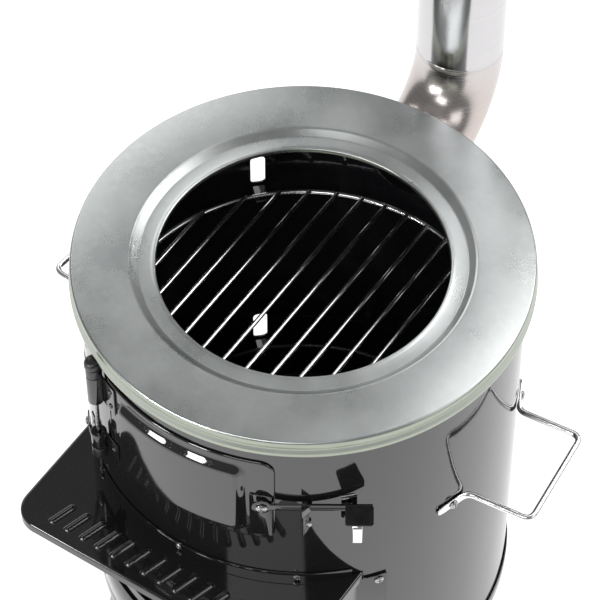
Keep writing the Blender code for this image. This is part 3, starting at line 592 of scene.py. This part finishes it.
def pot_ring():
    """The zinc ring: a grooved skirt, a flat face, a sloped recess and a lip round the hole."""
    top, skirt = RING_TOP, ring_low.z
    step, hole, floor = RING_STEP_R, RING_HOLE_R, RING_TOP - RING_RECESS
    foot = step - 0.0065
    outer = [(RING_R - 0.0016, skirt + 0.0006), (RING_R - 0.0004, skirt)]
    outer += [(RING_R + 0.0005, skirt + 0.0010), (RING_R + 0.0005, skirt + 0.0040)]
    outer += [(RING_R - 0.0018, skirt + 0.0085), (RING_R - 0.0010, skirt + 0.0115)]
    outer += [(RING_R - 0.0008, top - 0.0018), (RING_R - 0.0022, top)]
    outer += [(step + 0.0016, top), (step - 0.0002, top - 0.0007), (foot, floor)]
    outer += [(hole + 0.0042, floor + 0.0006), (hole + 0.0022, floor + 0.0012)]
    outer += [(hole + 0.0004, floor + 0.0004), (hole, floor - 0.0012), (hole, floor - 0.0035)]
    inner = [(hole + 0.0013, floor - 0.0035), (hole + 0.0022, floor - 0.0007)]
    inner += [(foot + 0.0006, floor - 0.0015), (step + 0.0010, top - 0.0017), (RING_R - 0.0024, top - 0.0015)]
    profile = fillet(outer + inner, 0.0010, 4)
    place("zinc_ring", revolve(bmesh.new(), profile), ZINC, "pot_ring", ["pot_ring"], sharp=60)


def grate(name, node, pitch, body, finish):
    """A wire rim with straight bars lying on it."""
    low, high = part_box(node)
    rim_z = low.z + RIM_WIRE
    bm = bmesh.new()
    rim = [polar(360 * k / ROUND_STEPS, GRATE_R, rim_z) for k in range(ROUND_STEPS)]
    wire(bm, rim, RIM_WIRE, closed=True)
    bar_z = high.z - BAR_WIRE
    side_bars = int((GRATE_R - 0.004) / pitch)
    for k in range(-side_bars, side_bars + 1):
        x = k * pitch
        half = math.sqrt(GRATE_R ** 2 - x ** 2) - RIM_WIRE
        path = [Vector((x, -half + 2 * half * s / 24, bar_z)) for s in range(25)]
        wire(bm, path, BAR_WIRE)
    place(name, bm, finish, body, [node], sharp=60)


# ---------------------------------------------------------------- fuel door and latch
def door_height(azimuth, z):
    """How far the pressed door stands proud of its flange."""
    slope_az, slope_z, border, flat = 2.6, 0.009, 0.0075, 1.4
    from_left = (azimuth - DOOR_LEFT - 4.8) / slope_az
    from_right = (DOOR_RIGHT - azimuth - 7.0) / slope_az
    from_low = (z - door_low.z - border) / slope_z
    from_high = (door_high.z - z - border) / slope_z
    parts = [min(max(part, 0.0), flat) for part in (from_left, from_right, from_low, from_high)]
    corner = [flat - part for part in (min(parts[:2]), min(parts[2:]))]
    inside = flat - math.hypot(*corner)
    return 0.006 * ease(inside / 1.05)


def door_skin():
    """The curved door: rounded right corners, turned edges and a raised middle."""
    columns, rows = 150, 84
    corner = 0.014
    right_arc = math.radians(DOOR_RIGHT) * DRUM_R
    left_arc = math.radians(DOOR_LEFT) * DRUM_R

    def surface(i, j, depth):
        f = i / columns
        f -= 0.06 * math.sin(2 * math.pi * f) * f
        s = left_arc + (right_arc - left_arc) * f
        into = max(0.0, s - (right_arc - corner))
        cut = corner - math.sqrt(max(0.0, corner ** 2 - into ** 2))
        low, high = door_low.z + cut, door_high.z - cut
        z = low + (high - low) * j / rows
        azimuth = math.degrees(s / DRUM_R)
        edge = max(0.0, min(s - left_arc, right_arc - s, z - low, high - z) / 0.0016)
        turn = 0.0011 * (1 - math.sqrt(1 - (1 - min(edge, 1.0)) ** 2)) if depth == 0 else 0.0
        return polar(azimuth, DOOR_INNER + SHEET - depth - turn + door_height(azimuth, z), z)

    bm = add_shell_grid(bmesh.new(), columns, rows, surface, SHEET)
    place("door_panel", bm, ENAMEL, "fuel_door", ["fuel_door"], sharp=55)


def latch_lever():
    """A pressed lever: an eye, a ribbed bar, a folded finger pad and a bright tongue."""
    where = local_frame(LATCH_AZ)
    thick = 0.002
    mid = LATCH_D + thick / 2
    pivot = where @ Vector((LATCH_PIVOT_T, mid, LATCH_Z))
    out = where.to_3x3() @ Vector((0, 1, 0))
    steps, across = 120, 14
    end = 0.061

    def half_height(t):
        near = t - LATCH_PIVOT_T
        eye = math.sqrt(max(0.0, 0.0085 ** 2 - near ** 2)) if near < 0.0085 else 0.0
        return max(eye, 0.0042 if near > 0 else 0.0, 0.0004)

    def surface(i, j, depth):
        t = LATCH_PIVOT_T - 0.0084 + (end - LATCH_PIVOT_T + 0.0084) * i / steps
        f = 2 * j / across - 1
        rise = half_height(t) * f
        along = ease((t - LATCH_PIVOT_T - 0.012) / 0.006) * ease((end - 0.003 - t) / 0.006)
        rib = 0.0011 * along * math.exp(-(f / 0.34) ** 2)
        edge = 0.0006 * ease((abs(f) - 0.75) / 0.25)
        face = LATCH_D + thick - depth + rib - (edge if depth == 0 else 0)
        return where @ Vector((t, face, LATCH_Z + rise))

    lever = add_shell_grid(bmesh.new(), steps, across, surface, thick)
    piece = place("latch_bar", lever, ENAMEL, "latch_lever", ["latch_lever"], sharp=50)
    bore = [(0, -0.01), (0.003, -0.01), (0.003, 0.01), (0, 0.01)]
    hole = revolve(bmesh.new(), bore, 32, facing(pivot, out))
    cut(piece, place("latch_hole", hole, ENAMEL, None))

    pad = rectangle(0.0375, 0.0620, LATCH_D + 0.0010, 0.2238, 0.003, 5)
    bm = add_prism(bmesh.new(), pad, LATCH_Z + 0.0020, LATCH_Z + 0.0038, where=where)
    soften(place("latch_pad", bm, FITTING, "latch_lever"), 0.0005)
    path = fillet([(0.212, LATCH_Z + 0.0013), (0.2240, LATCH_Z + 0.0010), (0.2248, LATCH_Z - 0.0100),
                   (0.2225, LATCH_Z - 0.0225)], 0.004, 6, closed=False)
    bm = strap(bmesh.new(), [where @ Vector((0.048, d, z)) for d, z in path], 0.0042)
    place("latch_tongue", bm, CHROME, "latch_lever", sharp=50)


def latch_keeper():
    """A strap on the drum, folded into an open hook that the lever drops into."""
    where = local_frame(LATCH_AZ)
    wall = DRUM_R + 0.0005 + SHEET / 2
    low, seat, lip = LATCH_Z - 0.039, LATCH_Z - 0.0066, LATCH_Z + 0.003
    path = [(wall, low), (wall, seat), (0.2052, seat), (0.2052, lip)]
    path = [where @ Vector((KEEPER_T, d, z)) for d, z in fillet(path, 0.0022, 5, closed=False)]
    bm = strap(bmesh.new(), path, 0.0065, SHEET / 2)
    place("keeper_strap", bm, ENAMEL, "stove_body", ["latch_keeper"], sharp=50)


# ---------------------------------------------------------------- shelf
def rib_height(x, y):
    """A plain row of slanted raised ribs along the shelf's front edge."""
    count, pitch, half, lean_by = 14, 0.0168, 0.0105, 0.30
    height = 0.0
    for k in range(count):
        centre_x = (k - (count - 1) / 2) * pitch
        middle_y = -SHELF_FRONT + 0.0245
        v = min(max(y - middle_y, -half), half)
        distance = math.hypot(x - centre_x - lean_by * v, y - middle_y - v)
        height = max(height, ease(1.25 - distance / 0.0028))
    return 0.0021 * height


def front_shelf():
    """The pressed shelf: a plate that hugs the drum, rounded corners and a turned-down flange."""
    wall = DRUM_R + 0.0007
    half, front, corner, drop = SHELF_HALF, -SHELF_FRONT, 0.025, SHELF_TOP - shelf_low.z
    side_back = -math.sqrt(wall ** 2 - half ** 2)
    bend = 0.0022

    outer = [(-half, side_back)]
    for middle_x, first_angle in ((-half + corner, 180), (half - corner, 270)):
        for k in range(25):
            a = math.radians(first_angle + 90 * k / 24)
            outer.append((middle_x + corner * math.cos(a), front + corner + corner * math.sin(a)))
    outer.append((half, side_back))
    lengths = [0.0]
    for first, second in zip(outer, outer[1:]):
        lengths.append(lengths[-1] + math.dist(first, second))

    def along(distance):
        for k in range(len(outer) - 1):
            if distance <= lengths[k + 1] or k == len(outer) - 2:
                f = (distance - lengths[k]) / (lengths[k + 1] - lengths[k])
                a, b = Vector(outer[k]), Vector(outer[k + 1])
                return a + (b - a) * f, (b - a).normalized()

    columns, plate_rows, bend_rows, flange_rows = 420, 96, 6, 3
    meet = math.degrees(math.asin(half / wall))
    stations = []
    for i in range(columns + 1):
        point, tangent = along(lengths[-1] * i / columns)
        start = polar(-meet + 2 * meet * i / columns, wall, 0).xy
        stations.append((start, point, Vector((tangent.y, -tangent.x))))

    def surface(i, j, depth):
        start, end, outward = stations[i]
        outward = -outward if outward.dot(end) < 0 and abs(outward.y) > 0.5 else outward
        inner_end = end - outward * bend
        if j <= plate_rows:
            p = start.lerp(inner_end, j / plate_rows)
            return Vector((p.x, p.y, SHELF_TOP - depth + rib_height(p.x, p.y)))
        if j <= plate_rows + bend_rows:
            a = math.radians(90 * (j - plate_rows) / bend_rows)
            p = inner_end + outward * (bend - depth) * math.sin(a)
            return Vector((p.x, p.y, SHELF_TOP - bend + (bend - depth) * math.cos(a)))
        f = (j - plate_rows - bend_rows) / flange_rows
        p = inner_end + outward * (bend - depth)
        return Vector((p.x, p.y, SHELF_TOP - bend - (drop - bend) * f))

    rows = plate_rows + bend_rows + flange_rows
    bm = add_shell_grid(bmesh.new(), columns, rows, surface, 0.0014)
    place("shelf_plate", bm, ENAMEL, "stove_body", ["front_shelf"], sharp=50)

    hem_az, hem_columns, hem_rows = 46.0, 120, 12

    def rear(i, j, depth):
        azimuth = -hem_az + 2 * hem_az * i / hem_columns
        f = j / hem_rows
        turned = 0.0008 * ease((f - 0.8) / 0.2) if depth == 0 else 0
        return polar(azimuth, wall + SHEET - depth - turned, SHELF_TOP - 0.001 + 0.0100 * f)

    hem = add_shell_grid(bmesh.new(), hem_columns, hem_rows, rear, SHEET)
    place("shelf_hem", hem, ENAMEL, "stove_body", sharp=50)


# ---------------------------------------------------------------- handles
def side_handle(name, node, azimuth):
    """A wire bail whose ends flatten into tabs that lie on the drum."""
    where = local_frame(azimuth)
    tab_half_thick, tab_half_high = 0.0011, 0.0050
    lie = DRUM_R + 0.0006 + tab_half_thick
    start_t, tab_t = 0.0845, 0.070
    half, out = HANDLE_HALF, HANDLE_OUT

    def drum_side(t):
        return math.sqrt(lie ** 2 - t ** 2)

    right = [(half, out), (half, drum_side(half) + 0.0012)]
    right += [(t, drum_side(t)) for t in (tab_t, start_t)]
    corners = [(-t, d) for t, d in right[::-1]] + right
    radii = [0, 0.02, 0.0075, 0.0095, 0.0095, 0.0075, 0.02, 0]
    flat = []
    for k, corner in enumerate(corners):
        flat += round_corner(corners, k, radii[k], 0.48, 10) if radii[k] else [Vector(corner)]
    dense = []
    for a, b in zip(flat, flat[1:]):
        pieces = max(1, round((b - a).length / 0.003))
        dense += [a.lerp(b, s / pieces) for s in range(pieces)]
    dense.append(flat[-1])
    path = [where @ Vector((p.x, p.y, HANDLE_Z)) for p in dense]

    def section(k):
        t = abs(dense[k].x)
        inboard = dense[k].y < lie * 0.999 and t > half - 0.001
        flattened = ease((t - half - 0.001) / 0.010) if inboard else 0.0
        end = ease((start_t + 0.0002 - t) / 0.004) if t > start_t - 0.004 else 1.0
        side = HANDLE_WIRE + (tab_half_thick - HANDLE_WIRE) * flattened
        rise = (HANDLE_WIRE + (tab_half_high - HANDLE_WIRE) * flattened) * (0.45 + 0.55 * end)
        power = 1.0 - 0.45 * flattened
        points = []
        for s in range(24):
            a = 2 * math.pi * s / 24
            c, n = math.cos(a), math.sin(a)
            flat_c, flat_n = (math.copysign(abs(part) ** power, part) for part in (c, n))
            points.append((side * flat_c, rise * flat_n))
        return points

    place(name, sweep(bmesh.new(), path, section), CHROME, "stove_body", [node], sharp=55)


# ---------------------------------------------------------------- screws, hinge and rivets
def pan_head(name, node, point, direction, radius, height, body="stove_body"):
    """A screw's pan head with a cross recess."""
    where = facing(point, direction)
    rings, sides = 22, 64
    bm = bmesh.new()
    grid = []
    for r in range(rings + 1):
        f = r / rings
        row = []
        for s in range(sides):
            a = 2 * math.pi * s / sides
            x, y = f * radius * math.cos(a), f * radius * math.sin(a)
            dome = height * (1 - 0.62 * f ** 3.2)
            arm = radius * 0.13 * (1 - 0.35 * f)
            inside = ease((arm - min(abs(x), abs(y))) / (radius * 0.05) + 0.5) * ease((0.62 - f) / 0.10)
            row.append(bm.verts.new(where @ Vector((x, y, dome - inside * height * 0.62))))
        grid.append(row)
    foot = [bm.verts.new(where @ Vector((x, y, 0))) for x, y in circle(radius * 0.97, sides)]
    middle = grid[0][0]
    for extra in grid[0][1:]:
        bm.verts.remove(extra)
    for s in range(sides):
        n = (s + 1) % sides
        bm.faces.new((middle, grid[1][s], grid[1][n]))
        for r in range(1, rings):
            bm.faces.new((grid[r][s], grid[r + 1][s], grid[r + 1][n], grid[r][n]))
        bm.faces.new((grid[rings][s], foot[s], foot[n], grid[rings][n]))
    bm.faces.new(foot)
    place(name, bm, FASTENER, body, [node], sharp=50)


def wall_screws():
    """Every screw head on the drum and the latch, each at its CAD node's place."""
    sizes = {"handle_screw": (0.0044, 0.0026, 0.0031), "wing_screw": (0.0042, 0.0022, 0.0025),
             "shelf_screw": (0.0034, 0.0018, 0.0025), "bracket_screw": (0.0036, 0.0020, 0.0025),
             "keeper_screw": (0.0042, 0.0022, 0.0023)}      # head radius, head height, seat off the drum
    for node in sorted(frame["nodes"]):
        for prefix, (radius, height, seat) in sizes.items():
            if node.startswith(prefix):
                centre = sum(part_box(node), Vector()) / 2
                out = Vector((centre.x, centre.y, 0)).normalized()
                foot = out * (DRUM_R + seat) + Vector((0, 0, centre.z))
                pan_head(node + "_head", node, foot, out, radius, height)
    where = local_frame(LATCH_AZ)
    out = where.to_3x3() @ Vector((0, 1, 0))
    head = where @ Vector((LATCH_PIVOT_T, LATCH_D + 0.0024, LATCH_Z))
    pan_head("latch_screw_head", "latch_pivot_screw", head, out, 0.0050, 0.0028, "fuel_door")
    bm = bmesh.new()
    profile = fillet([(0, -0.0043), (0.0050, -0.0043), (0.0050, -0.0027), (0, -0.0027)], 0.0004, 3)
    revolve(bm, profile, 40, facing(head, out))
    place("latch_washer", bm, FASTENER, "fuel_door", ["latch_spacer"])


def knuckle_set(name, node, azimuths, strip_r, body, material):
    """A strap rolled round the hinge pin: its knuckle and its leaf."""
    low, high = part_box(node)
    axis = polar(HINGE_AZ, HINGE_R, 0)
    where = Matrix.Translation((axis.x, axis.y, 0))
    outer, inner = KNUCKLE_R, KNUCKLE_BORE
    profile = fillet([(outer, low.z), (outer, high.z), (inner, high.z), (inner, low.z)], 0.0006, 4)
    place(name + "_knuckle", revolve(bmesh.new(), profile, 48, where), material, body, [node])
    start, end = azimuths
    columns, rows = 24, 10

    def surface(i, j, depth):
        azimuth = start + (end - start) * i / columns
        z = low.z + (high.z - low.z) * j / rows
        return polar(azimuth, strip_r + SHEET - depth, z)

    sheet = add_shell_grid(bmesh.new(), columns, rows, surface, SHEET)
    leaf = place(name + "_leaf", sheet, material, body, sharp=50)
    soften(leaf, 0.0004, 2, 50)


def hinge():
    """Two fixed brackets, two door leaves, the pin with its black cap, and the leaf's rivets."""
    axis = polar(HINGE_AZ, HINGE_R, 0)
    on_axis = Matrix.Translation((axis.x, axis.y, 0))
    wall = DRUM_R + 0.0007
    leaf = wall + SHEET + 0.0003
    toward = HINGE_AZ - 0.4
    knuckle_set("upper_bracket", "hinge_bracket_upper", (-38.0, toward), wall, "stove_body", FITTING)
    knuckle_set("lower_bracket", "hinge_bracket_lower", (-38.0, toward), wall, "stove_body", FITTING)
    knuckle_set("upper_leaf", "door_leaf_upper", (HINGE_AZ + 0.4, -20.5), leaf, "fuel_door", ENAMEL)
    knuckle_set("lower_leaf", "door_leaf_lower", (HINGE_AZ + 0.4, -20.5), leaf, "fuel_door", ENAMEL)
    low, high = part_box("hinge_pin")
    cap_low = 0.3925
    pin = [(0, low.z), (0.0008, low.z + 0.0006), (0.0011, low.z + 0.003), (0.0011, low.z + 0.026)]
    pin += [(0.0020, low.z + 0.030), (0.0020, cap_low - 0.0003), (0, cap_low - 0.0003)]
    place("hinge_rod", revolve(bmesh.new(), pin, 40, on_axis), FASTENER, "stove_body", sharp=45)
    dome = [(0, cap_low), (0.0074, cap_low), (0.0080, cap_low + 0.0008), (0.0080, cap_low + 0.0046)]
    dome += [(0.0074, high.z - 0.0026), (0.0058, high.z - 0.0009), (0.0030, high.z - 0.0001), (0, high.z)]
    cap = revolve(bmesh.new(), dome, 48, on_axis)
    place("hinge_cap", cap, FITTING, "stove_body", ["hinge_pin"], sharp=50)
    bm = bmesh.new()
    rivet_az = -22.2
    rivet = [(0, 0), (0.0026, 0), (0.0025, 0.0005), (0.0019, 0.0011), (0.0009, 0.0014), (0, 0.0015)]
    for z in (0.354, 0.373, 0.2905):
        revolve(bm, rivet, 28, facing(polar(rivet_az, leaf + SHEET, z), polar(rivet_az, 1, 0)))
    place("leaf_rivets", bm, ENAMEL, "fuel_door", sharp=50)


# ---------------------------------------------------------------- chimney
def flue_elbow():
    """The bent tube from the drum's flue hole up to the spigot that the lowest pipe slips over."""
    body = PIPE_R - 0.0003
    path = [polar(FLUE_AZ, 0.2005, FLUE_Z), polar(FLUE_AZ, 0.206, FLUE_Z)]
    for k in range(49):
        a = math.radians(-90 + 90 * k / 48)
        out, rise = CHIMNEY_D - BEND_R + BEND_R * math.cos(a), BEND_R + BEND_R * math.sin(a)
        path.append(polar(FLUE_AZ, out, FLUE_Z + rise))
    radii = [body] * len(path)
    joint = pipe_low.z
    for z, radius in ((joint - 0.0035, body), (joint - 0.0012, SPIGOT_R), (joint + 0.010, SPIGOT_R),
                      (elbow_high.z, SPIGOT_R)):
        path.append(polar(FLUE_AZ, CHIMNEY_D, z))
        radii.append(radius)
    bm = bmesh.new()
    sides = 96
    rings = []
    for skin in (0, PIPE_WALL):
        made = []
        for k, point in enumerate(path):
            before, after = path[max(k - 1, 0)], path[min(k + 1, len(path) - 1)]
            tangent = (after - before).normalized()
            side = local_frame(FLUE_AZ).to_3x3() @ Vector((1, 0, 0))
            up = tangent.cross(side)
            made.append([bm.verts.new(point + side * x + up * y) for x, y in circle(radii[k] - skin, sides)])
        rings.append(made)
    for made in rings:
        for low, high in zip(made, made[1:]):
            for s in range(sides):
                n = (s + 1) % sides
                bm.faces.new((low[s], low[n], high[n], high[s]))
    for end in (0, -1):
        for s in range(sides):
            n = (s + 1) % sides
            bm.faces.new((rings[0][end][s], rings[0][end][n], rings[1][end][n], rings[1][end][s]))
    place("elbow_bend", bm, ELBOW_STEEL, "stove_body", ["flue_elbow"], sharp=50)


def chimney():
    """Three pipes, each with a bead and a spigot, and a rain cap on three straps."""
    bore = SPIGOT_R - PIPE_WALL
    inside = PIPE_R - PIPE_WALL
    where = Matrix.Translation(polar(FLUE_AZ, CHIMNEY_D, 0))
    for node in ("pipe_lower", "pipe_middle", "pipe_upper"):
        low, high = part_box(node)
        top = high.z - 0.024
        bead = top - 0.010
        profile = [(inside, low.z), (PIPE_R - 0.0001, low.z), (PIPE_R + 0.0004, low.z + 0.0010)]
        profile += [(PIPE_R, low.z + 0.0022), (PIPE_R, bead - 0.0030), (PIPE_R + 0.0008, bead - 0.0012)]
        profile += [(PIPE_R + 0.0008, bead + 0.0012), (PIPE_R, bead + 0.0030), (PIPE_R, top - 0.0030)]
        profile += [(SPIGOT_R, top - 0.0005), (SPIGOT_R, high.z), (bore, high.z), (bore, top - 0.001)]
        profile += [(inside, top - 0.0035)]
        bm = revolve(bmesh.new(), fillet(profile, 0.0006, 3), 96, where)
        place(node + "_tube", bm, STAINLESS, node, [node], sharp=50)
    low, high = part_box("chimney_cap")
    collar_top = low.z + 0.020
    collar = [(inside, low.z), (PIPE_R, low.z), (PIPE_R, collar_top), (inside, collar_top)]
    bm = revolve(bmesh.new(), fillet(collar, 0.0003, 3), 96, where)
    cone_low = low.z + 0.050
    cone = [(0, high.z - 0.0012), (0.0605, cone_low), (0.0622, cone_low), (0.0625, cone_low + 0.0006)]
    cone += [(0.0620, cone_low + 0.0012), (0, high.z)]
    revolve(bm, cone, 96, where)
    for k in range(3):
        turn = where @ local_frame(60 + 120 * k)
        side = PIPE_R + 0.0003
        strut = [(side, low.z + 0.004), (side, cone_low + 0.004), (0.046, cone_low + 0.0062)]
        path = [turn @ Vector((0, d, z)) for d, z in fillet(strut, 0.003, 4, closed=False)]
        strap(bm, path, 0.005, 0.0005, 0.0005, 2)
    place("rain_cap", bm, STAINLESS, "chimney_cap", ["chimney_cap"], sharp=40)


# ---------------------------------------------------------------- carried-over CAD pieces
def dress_cad():
    """Give the CAD pieces that stay their finish and soft edges."""
    finishes = {"enamel": ENAMEL, "zinc": ZINC, "chrome": CHROME, "stainless": STAINLESS,
                "fastener": FASTENER, "black_fitting": FITTING}
    slots = {entry["node"]: entry["material_slot"] for entry in frame["record"]["subparts"]}
    for name, node in frame["nodes"].items():
        if node.hide_render:
            continue
        node.data.materials.clear()
        node.data.materials.append(finishes[slots[name]])
        weld = node.modifiers.new("weld", "WELD")
        weld.merge_threshold = 0.00002
        node.data.shade_smooth()
        soften(node, 0.0004, 2, 38)


# ---------------------------------------------------------------- stage
def stage():
    """A white floor, a dim white room, soft lights aimed at the stove, and the camera."""
    bm = bmesh.new()
    reach = 6.0
    bmesh.ops.create_grid(bm, x_segments=8, y_segments=8, size=reach)
    for vert in bm.verts:
        vert.co.z = FLOOR_Z - 0.0002
    floor = place("studio_floor", bm, floor_finish(), None)

    world = bpy.data.worlds.new("studio")
    bpy.context.scene.world = world
    world.use_nodes = True
    background = world.node_tree.nodes["Background"]
    background.inputs["Color"].default_value = (1, 1, 1, 1)
    background.inputs["Strength"].default_value = 0.22

    def softbox(name, azimuth, out, height, size, power):
        light = bpy.data.lights.new(name, "AREA")
        light.shape = "RECTANGLE"
        light.size, light.size_y = size
        light.energy = power
        lamp = bpy.data.objects.new(name, light)
        bpy.context.scene.collection.objects.link(lamp)
        lamp.location = polar(azimuth, out, height)
        aim = Vector((0, 0, 0.25)) - lamp.location
        lamp.rotation_euler = aim.to_track_quat("-Z", "Y").to_euler()

    softbox("key_softbox", 146, 1.8, 1.9, (1.6, 1.4), 22)
    softbox("rear_left_softbox", -124, 1.9, 1.6, (1.2, 1.1), 6)
    softbox("grate_softbox", 180, 1.15, 2.1, (0.6, 0.5), 3.5)
    softbox("front_softbox", 14, 2.0, 2.5, (1.3, 0.9), 14)
    softbox("overhead_softbox", 180, 0.4, 2.3, (1.9, 1.9), 1.2)
    softbox("side_softbox", 95, 1.8, 1.4, (0.8, 1.0), 4)
    softbox("strip_left", -27, 1.7, 1.05, (0.22, 0.5), 7)
    softbox("strip_right", -9.5, 1.7, 1.05, (0.22, 0.5), 7)

    lens = bpy.data.cameras.new("photo_camera")
    lens.lens = CAMERA_LENS
    lens.clip_end = 50
    camera = bpy.data.objects.new("photo_camera", lens)
    bpy.context.scene.collection.objects.link(camera)
    side = local_frame(CAMERA_AZ).to_3x3() @ Vector((CAMERA_SIDE, 0, 0))
    camera.location = polar(CAMERA_AZ, CAMERA_OUT, RING_TOP + CAMERA_UP) + side
    camera.rotation_euler = (math.radians(90 - CAMERA_PITCH), 0, math.radians(CAMERA_AZ))
    bpy.context.scene.camera = camera
    bpy.context.scene.view_settings.view_transform = "Standard"


stage()
drum_wall()
drum_base()
pot_ring()
grate("cook_grate_wire", "cook_grate", 0.023, "cook_grate", CHROME)
# painted shade: the fire grate gets the black paint so that it stays dark deep in the drum
grate("fire_grate_wire", "fire_grate", 0.025, "fire_grate", FITTING)
door_skin()
latch_lever()
latch_keeper()
front_shelf()
side_handle("right_bail", "handle_right", HANDLE_AZ)
side_handle("left_bail", "handle_left", -HANDLE_AZ)
wall_screws()
hinge()
flue_elbow()
chimney()
dress_cad()
